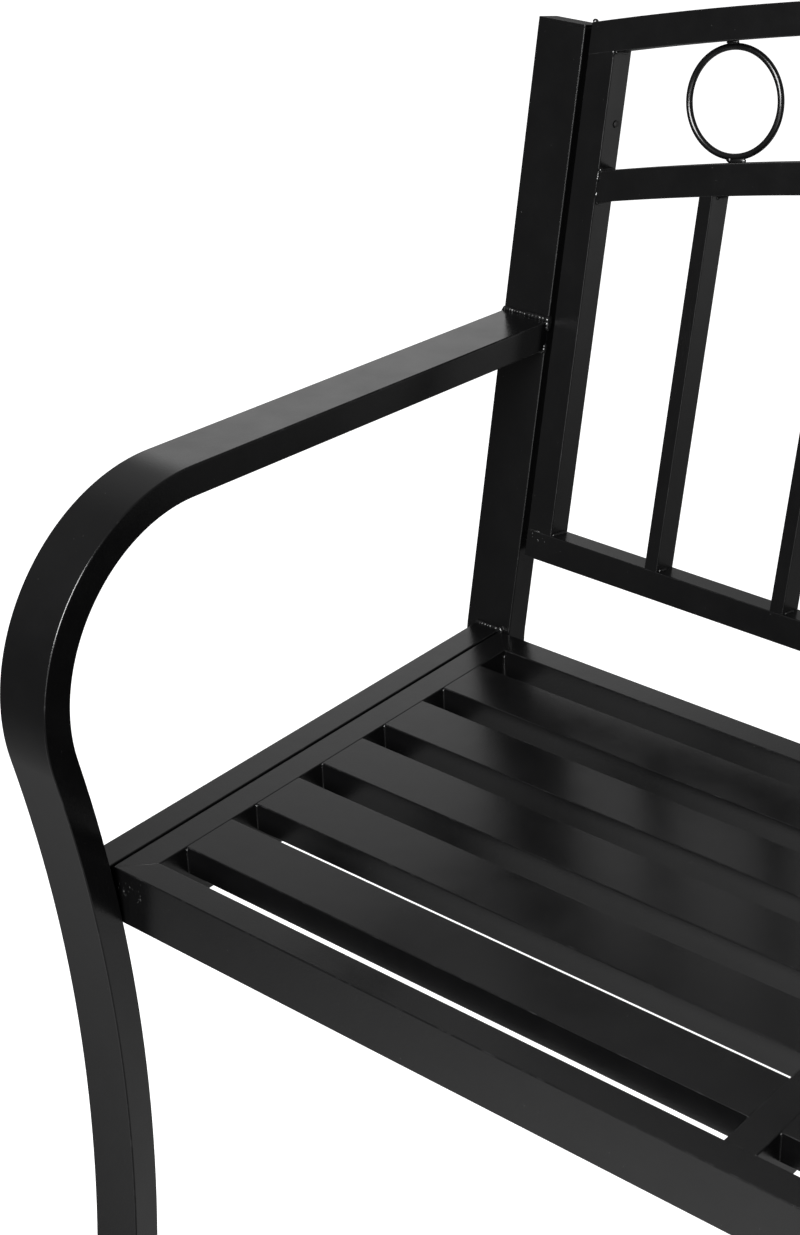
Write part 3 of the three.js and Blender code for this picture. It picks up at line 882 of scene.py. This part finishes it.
def side_frame_welds(side, sign):
    welds = Welds(SIDE_FRAME_SEED + sign)
    x = sign * FRAME_MIDDLE

    # Arm on the upright: over the top, down both sides and round the bottom
    top, bottom = (side_point(0, *arm_meeting(o)) for o in (NARROW / 2, -NARROW / 2))
    edge = FRAME_WIDE / 2 - 0.6
    flank = edge + 0.4
    lift = PANEL_UP * 0.7
    for way in (-1, 1):
        welds.bead([
            top + lift + AXIS_X * (x - way * 1.0),
            top + lift + AXIS_X * (x + way * edge),
            top - PANEL_UP * 7 + AXIS_X * (x + way * flank),
        ], radius=ARM_BEADS[way])
        welds.bead([
            bottom + PANEL_UP * 5 + AXIS_X * (x + way * flank),
            bottom - lift + AXIS_X * (x + way * edge),
            bottom - lift + AXIS_X * (x + way * 6),
        ])
    welds.lump(top + lift + AXIS_X * (x + edge), AXIS_X, PANEL_UP, (2.9, 2.7, 2.7))

    # Seat support rail on the upright
    half = NARROW / 2 - 0.4
    back = side_point(x, UPRIGHT_Y, 0)
    back_low = back - PANEL_UP * WIDE
    welds.bead([
        back - PANEL_UP * 24 - AXIS_X * (half + 0.5),
        back - AXIS_X * half,
        back + AXIS_X * (half + 1.5),
        back - PANEL_UP * 16 + AXIS_X * (half + 0.9),
    ], radius=RAIL_BEAD)
    welds.lump(back + AXIS_X * (half + 2.2) - PANEL_BACK * 0.4, AXIS_X, PANEL_UP, (2.4, 2.7, 2.2))
    for drop, shift in ((4.2, 0.6), (6.8, 2.6)):
        place = back + AXIS_X * (half + shift) - PANEL_UP * drop
        welds.lump(place, AXIS_X, PANEL_UP, (0.7, 2.0, 0.8))
    welds.bead([back_low - AXIS_X * (half + 0.4), back_low + AXIS_X * (half + 0.4)], radius=UNDER_BEAD)

    # Seat support rail on the front leg
    front_top = side_point(x, leg_front(0, NARROW / 2), 0)
    front_low = side_point(x, leg_front(-WIDE, NARROW / 2), -WIDE)
    rail_side = AXIS_X * (half + 0.3)
    welds.bead([
        front_low + rail_side + AXIS_Z * 6,
        front_top + rail_side,
        front_top - rail_side,
        front_low - rail_side + AXIS_Z * 6,
    ], radius=UNDER_BEAD)
    welds.object(f"{side}_frame_welds")


def seat_corner_welds(welds, sx, sy):
    """Beads of one mitred corner: on top, in the inside corner and below."""
    edge_y = SEAT_FRONT if sy < 0 else SEAT_BACK
    outer = vec(sx * SEAT_END, edge_y, SEAT_TOP)
    inward = vec(-sx, -sy, 0)
    mitre = [outer + inward * 1.2 - AXIS_Z * 0.95, outer + inward * 12 - AXIS_Z * 1.0]
    welds.bead(mitre, radius=MITRE_BEAD)
    inner = outer + inward * (NARROW + 0.2)
    welds.bead([inner - AXIS_Z * 4, inner - AXIS_Z * 36], radius=CORNER_BEAD)
    face = outer + vec(-sx * 12, 0, -14)
    welds.spatter(face, AXIS_X, AXIS_Z, (11, 7), 26)
    foot = outer + inward * 3 - AXIS_Z * (WIDE - 0.4)
    welds.bead([foot, foot + inward * 14], radius=UNDER_BEAD)


def cross_member_welds(welds, name):
    low, high = corners(name)
    for x in (low[0], high[0]):
        for y in (low[1], high[1]):
            welds.bead([vec(x, y, SEAT_TOP - 5), vec(x, y, SEAT_TOP - WIDE + 3)], radius=MEMBER_BEAD)
    below = low[2] - 0.1
    for y in (low[1], high[1]):
        welds.bead([vec(low[0] + 2, y, below), vec(high[0] - 2, y, below)], radius=UNDER_BEAD)


def slat_welds(welds, name):
    """A bead below each end of a slat, and one down each corner with a tack near the top."""
    low, high = corners(name)
    middle = (low[1] + high[1]) / 2
    below = low[2] - 0.2
    for x in (low[0], high[0]):
        reach = welds.chance.uniform(6, 9)
        shift = welds.chance.uniform(-3, 3)
        welds.bead([
            vec(x, middle + shift - reach, below),
            vec(x, middle + shift + reach, below),
        ], radius=SLAT_BEAD)
        for y in (low[1], high[1]):
            welds.bead([vec(x, y, high[2] - 1.5), vec(x, y, low[2] + 1)], radius=SLAT_SIDE_BEAD)
            tack = vec(x, y, high[2] - welds.chance.uniform(1.2, 2.4))
            welds.lump(tack, AXIS_X, AXIS_Z, (1.2, 1.3, 1.1))


def seat_panel_welds():
    welds = Welds(SEAT_SEED)
    for sx in (-1, 1):
        for sy in (-1, 1):
            seat_corner_welds(welds, sx, sy)
    for side in ("left", "right"):
        cross_member_welds(welds, f"seat_{side}_cross_member")
    for name in sorted(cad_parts):
        if name.startswith("seat_slat_"):
            slat_welds(welds, name)
    welds.object("seat_panel_welds")


LOWER_RAIL_TOP = LOWER_RAIL_BOTTOM + NARROW


def stile_welds(welds, sign):
    """Welds of one stile to the middle, top and lower rails."""
    inner = sign * (PANEL_EDGE - NARROW)
    outer = sign * (PANEL_EDGE - 1.2)
    middle_top = arch_height(MIDDLE_RAIL_APEX, 0, inner)
    middle_low = arch_height(MIDDLE_RAIL_APEX, NARROW, inner)
    top_low = arch_height(TOP_RAIL_APEX, NARROW, inner)
    outer_top = arch_height(TOP_RAIL_APEX, 0, outer)

    def blob(x, depth, height, size):
        welds.lump(panel_point(x, depth, height), AXIS_X, PANEL_UP, size)

    for height, way in ((middle_top, 1), (middle_low, -1)):
        welds.bead([
            panel_point(inner - sign * 0.3, 1.5, height + way * 0.2),
            panel_point(inner - sign * 0.3, 17, height + way * 0.2),
        ], radius=STILE_BEAD)
    welds.bead([
        panel_point(inner, 0.1, middle_top + 1),
        panel_point(inner - sign * 0.2, -0.1, middle_top - 7),
    ], radius=STILE_BEAD)
    blob(inner - sign * 1.2, 0.4, middle_top + 0.6, (2.2, 2.0, 1.6))
    blob(inner - sign * 0.4, 0.2, middle_low + 5, (1.2, 2.4, 1.2))
    welds.bead([
        panel_point(inner - sign * 0.5, 1, top_low - 0.2),
        panel_point(inner - sign * 0.5, 16, top_low - 0.2),
    ], radius=STILE_BEAD)
    blob(inner + sign * 1.0, 0.1, top_low - 1.0, (1.7, 2.3, 1.2))
    blob(outer, 2.0, outer_top + 0.4, (1.9, 1.5, 1.9))
    welds.bead([
        panel_point(sign * (PANEL_EDGE - 1.5), 0.2, LOWER_RAIL_TOP),
        panel_point(sign * (PANEL_EDGE - 11), 0.1, LOWER_RAIL_TOP + 0.2),
    ], radius=MITRE_BEAD)
    welds.bead([
        panel_point(inner - sign * 0.2, 2, LOWER_RAIL_TOP + 0.2),
        panel_point(inner - sign * 0.2, 18, LOWER_RAIL_TOP + 0.2),
    ], radius=STILE_FOOT_BEAD)
    foot = panel_point(sign * (PANEL_EDGE - 9), -0.1, LOWER_RAIL_TOP - 4)
    welds.spatter(foot, AXIS_X, PANEL_UP, (8, 3), 7, 0.9)


def bar_welds(welds, x):
    """Short beads on both sides of a bar, at its foot and its top."""
    bar_top = arch_height(MIDDLE_RAIL_APEX, NARROW, x)
    for way in (-1, 1):
        for height in (LOWER_RAIL_TOP + 0.2, bar_top - 0.2):
            begin = welds.chance.uniform(3, 6)
            reach = welds.chance.uniform(8, 12)
            side = x + way * (BAR_WIDTH / 2 + 0.2)
            welds.bead([
                panel_point(side, begin, height),
                panel_point(side, begin + reach, height),
            ], radius=CORNER_BEAD)


def ring_welds(welds, centre, across, up):
    """Blobs that hold a ring: one to the top rail, two run together to the middle rail."""
    rim = RING_RADIUS + RING_ROD
    low_shift = welds.chance.uniform(-2.5, 1)
    welds.lump(centre + up * (rim + 0.5), across, up, (4.6, 2.2, 2.0))
    welds.lump(centre - up * (rim + 0.4) + across * low_shift, across, up, (6.4, 2.3, 2.1))
    welds.lump(centre - up * (rim - 0.6) + across * (low_shift - 5.2), across, up, (2.6, 2.4, 2.2))


def back_panel_welds(rings):
    welds = Welds(BACK_SEED)
    for sign in (-1, 1):
        stile_welds(welds, sign)
    for number in range(BAR_COUNT):
        bar_welds(welds, bar_place(number))
    for centre, across, up in rings:
        ring_welds(welds, centre, across, up)
    welds.object("back_panel_welds")


# ---------------------------------------------------------------- bolts

HEX_REACH = 2.0              # half the width across the flats of a bolt's socket
SOCKET_RIM = 2.05            # heights above the washer
SOCKET_FLOOR = 0.7
SOCKET_TAPER = 0.97
HEAD_PROFILE = [             # radius and height above the washer
    (5.1, 0.0), (5.25, 0.25), (5.2, 0.7), (4.8, 1.35), (4.0, 1.85), (3.1, 2.12), (2.75, 2.2),
]
WASHER = 0.75                # thickness
WASHER_PROFILE = [(6.0, 0.02), (6.2, 0.15), (6.2, WASHER - 0.12), (6.05, WASHER), (3.3, WASHER)]
THREAD_LENGTH = 8.0
THREAD_PITCH = 1.0
THREAD_PROFILE = [(0.0, 0.35), (0.0, 0.45), (0.45, 0.85)]    # depth, and place along one turn


def socket_reach(angle):
    """Reach of the hexagonal socket in a direction."""
    return HEX_REACH / math.cos((angle + math.pi / 6) % (math.pi / 3) - math.pi / 6)


def bolt(name, seat, outward, length):
    """A button-head machine bolt with a washer. `seat` is the middle of the bearing face."""
    around = 36
    side = AXIS_Z
    other = np.cross(outward, side)
    mesh = bmesh.new()

    def rim(radius, height):
        ring = []
        for j in range(around):
            a = 2 * math.pi * j / around
            r = radius(a) if callable(radius) else radius
            place = seat + outward * height + (side * math.cos(a) + other * math.sin(a)) * r
            ring.append(mesh.verts.new(tuple(place * MM)))
        return ring

    def solid(rows):
        rings = [rim(radius, height) for radius, height in rows]
        for a, b in zip(rings, rings[1:]):
            for j in range(around):
                k = (j + 1) % around
                mesh.faces.new((a[j], a[k], b[k], b[j]))
        mesh.faces.new(reversed(rings[0]))
        mesh.faces.new(rings[-1])

    solid(WASHER_PROFILE)
    head = [(radius, WASHER + height) for radius, height in HEAD_PROFILE]
    head.append((socket_reach, WASHER + SOCKET_RIM))
    head.append((lambda angle: socket_reach(angle) * SOCKET_TAPER, WASHER + SOCKET_FLOOR))
    solid(head)
    thread = [(BOLT_SHANK - 0.9, -length), (BOLT_SHANK - 0.35, -length + 0.45)]
    travel = -length + 0.5
    while travel < -length + THREAD_LENGTH:
        thread += [(BOLT_SHANK - depth, travel + along) for depth, along in THREAD_PROFILE]
        travel += THREAD_PITCH
    solid(thread + [(BOLT_SHANK, travel + 0.5), (BOLT_SHANK, 0.0)])
    bmesh.ops.recalc_face_normals(mesh, faces=mesh.faces)
    data = bpy.data.meshes.new(name)
    mesh.to_mesh(data)
    mesh.free()
    data.shade_smooth()
    data.set_sharp_from_angle(angle=math.radians(32))
    data.materials.append(BOLT)
    piece = bpy.data.objects.new(name, data)
    bpy.context.scene.collection.objects.link(piece)
    ride(piece, STEEL_SLOT)


def bolts(side, sign):
    outward = AXIS_X * sign
    outer = sign * (FRAME_MIDDLE + FRAME_WIDE / 2)
    length = FRAME_MIDDLE + FRAME_WIDE / 2 - PANEL_EDGE + NARROW + BOLT_TIP
    for label, height in zip(("upper", "lower"), BOLT_HEIGHTS):
        bolt(f"{side}_back_{label}_bolt", panel_point(outer, BOLT_DEPTH, height), outward, length)
    rail_side = sign * (FRAME_MIDDLE + NARROW / 2)
    length = NARROW + RAIL_CLEARANCE + SEAT_BOLT_BITE
    for label, y in zip(("front", "rear"), SEAT_BOLTS):
        bolt(f"{side}_seat_{label}_bolt", side_point(rail_side, y, -WIDE / 2), outward, length)


# ---------------------------------------------------------------- stage, light, camera

FLOOR_REACH = 14.0           # metres from the middle to an edge
FLOOR_GLOW = 1.05            # keeps the pale floor evenly white


def stage_floor():
    mesh = bpy.data.meshes.new("floor")
    signs = [(-1, -1), (1, -1), (1, 1), (-1, 1)]
    mesh.from_pydata([(x * FLOOR_REACH, y * FLOOR_REACH, 0) for x, y in signs], [], [(0, 1, 2, 3)])
    material, _, shader = new_material("pale_floor")
    shader.inputs["Base Color"].default_value = (0.3, 0.3, 0.3, 1)
    shader.inputs["Roughness"].default_value = 1.0
    shader.inputs["Specular IOR Level"].default_value = 0.0
    shader.inputs["Emission Color"].default_value = (1, 1, 1, 1)
    shader.inputs["Emission Strength"].default_value = FLOOR_GLOW
    mesh.materials.append(material)
    floor = bpy.data.objects.new("floor", mesh)
    bpy.context.scene.collection.objects.link(floor)
    floor.visible_glossy = False
    floor.visible_diffuse = False


# Brightness of the room from straight down (0) to straight up (1)
ROOM_LEVELS = [(0.0, 0.5), (0.1, 0.42), (0.2, 0.2), (0.3, 0.09), (0.5, 0.09), (0.6, 0.11),
               (0.8, 0.2), (1.0, 0.15)]
# Bright patches of the room: direction from +X, height, half-width in degrees, and brightness
GLOWS = [
    (131, 19, 16, 0.95),
    (132, 46, 32, 0.2),
    (112, 3, 14, 0.12),
    (53, -7, 20, 0.5),
    (38, -46, 20, 0.35),
    (252, -44, 26, 0.5),
    (312, -6, 16, 3.0),
]


def studio_world():
    world = bpy.data.worlds.new("studio")
    bpy.context.scene.world = world
    world.use_nodes = True
    tree = world.node_tree
    tree.nodes.clear()
    output = node_of(tree, "ShaderNodeOutputWorld")
    room = node_of(tree, "ShaderNodeBackground")
    white = node_of(tree, "ShaderNodeBackground")
    white.inputs["Color"].default_value = (1, 1, 1, 1)
    place = node_of(tree, "ShaderNodeTexCoord")
    split = node_of(tree, "ShaderNodeSeparateXYZ")
    tree.links.new(place.outputs["Generated"], split.inputs[0])
    height = ranged(tree, split.outputs["Z"], -1.0, 1.0, 0.0, 1.0)
    ramp = node_of(tree, "ShaderNodeValToRGB")
    tree.links.new(height, ramp.inputs["Fac"])
    ramp.color_ramp.elements[0].position = ROOM_LEVELS[0][0]
    ramp.color_ramp.elements[1].position = ROOM_LEVELS[-1][0]
    for where, _ in ROOM_LEVELS[1:-1]:
        ramp.color_ramp.elements.new(where)
    for element, (_, level) in zip(ramp.color_ramp.elements, ROOM_LEVELS):
        element.color = (level, level, level, 1)
    total = ramp.outputs["Color"]
    for turn, lift, spread, level in GLOWS:
        aim = node_of(tree, "ShaderNodeVectorMath", operation="DOT_PRODUCT")
        flat = math.cos(math.radians(lift))
        aim.inputs[1].default_value = (
            math.cos(math.radians(turn)) * flat,
            math.sin(math.radians(turn)) * flat,
            math.sin(math.radians(lift)),
        )
        tree.links.new(place.outputs["Generated"], aim.inputs[0])
        edge = math.cos(math.radians(spread))
        patch = ranged(tree, aim.outputs["Value"], edge, 1.0, 0.0, level)
        patch.node.interpolation_type = "SMOOTHSTEP"
        total = arithmetic(tree, "ADD", total, patch)
    tree.links.new(total, room.inputs["Color"])
    seen = node_of(tree, "ShaderNodeLightPath")
    mix = node_of(tree, "ShaderNodeMixShader")
    tree.links.new(seen.outputs["Is Camera Ray"], mix.inputs[0])
    tree.links.new(room.outputs[0], mix.inputs[1])
    tree.links.new(white.outputs[0], mix.inputs[2])
    tree.links.new(mix.outputs[0], output.inputs["Surface"])


def softbox(name, place, target, width, height, power):
    lamp = bpy.data.lights.new(name, "AREA")
    lamp.shape = "RECTANGLE"
    lamp.size = width
    lamp.size_y = height
    lamp.energy = power
    piece = bpy.data.objects.new(name, lamp)
    piece.location = place
    aim = Vector(target) - Vector(place)
    piece.rotation_euler = aim.to_track_quat("-Z", "Y").to_euler()
    bpy.context.scene.collection.objects.link(piece)


KEY_PLACE = (0.1, -2.4, 2.2)
KEY_TARGET = (-0.5, 0.1, 0.65)
KEY_SIZE = (1.5, 1.8)
KEY_POWER = 230              # watts


def studio_light():
    softbox("key_front", KEY_PLACE, KEY_TARGET, *KEY_SIZE, KEY_POWER)


SENSOR_WIDTH = 36.0          # millimetres, as the lens
VIEW_PLACE = (0.24828, -1.03017, 1.19818)
VIEW_YAW = math.radians(39.03)       # turned left from straight at the back
VIEW_PITCH = math.radians(-30.446)
VIEW_ROLL = math.radians(-0.526)
VIEW_LENS = 68.561
VIEW_SHIFT = (-0.05625, 0.07719)


def view_camera():
    data = bpy.data.cameras.new("view")
    data.sensor_width = SENSOR_WIDTH
    data.sensor_fit = "AUTO"
    data.lens = VIEW_LENS
    data.shift_x, data.shift_y = VIEW_SHIFT
    camera = bpy.data.objects.new("view", data)
    level = math.cos(VIEW_PITCH)
    forward = Vector((-math.sin(VIEW_YAW) * level, math.cos(VIEW_YAW) * level, math.sin(VIEW_PITCH)))
    flat_right = Vector((math.cos(VIEW_YAW), math.sin(VIEW_YAW), 0))
    flat_up = flat_right.cross(forward)
    right = flat_right * math.cos(VIEW_ROLL) + flat_up * math.sin(VIEW_ROLL)
    up = flat_up * math.cos(VIEW_ROLL) - flat_right * math.sin(VIEW_ROLL)
    turn = Matrix((right, up, -forward)).transposed().to_4x4()
    camera.matrix_world = Matrix.Translation(VIEW_PLACE) @ turn
    bpy.context.scene.collection.objects.link(camera)
    bpy.context.scene.camera = camera


view_camera()
stage_floor()
studio_world()
studio_light()
seat_panel()
for side, sign in (("left", -1), ("right", 1)):
    side_frame(side, sign)
    side_frame_welds(side, sign)
    bolts(side, sign)
seat_panel_welds()
back_panel_welds(back_panel())

bpy.context.scene.view_settings.view_transform = "Standard"
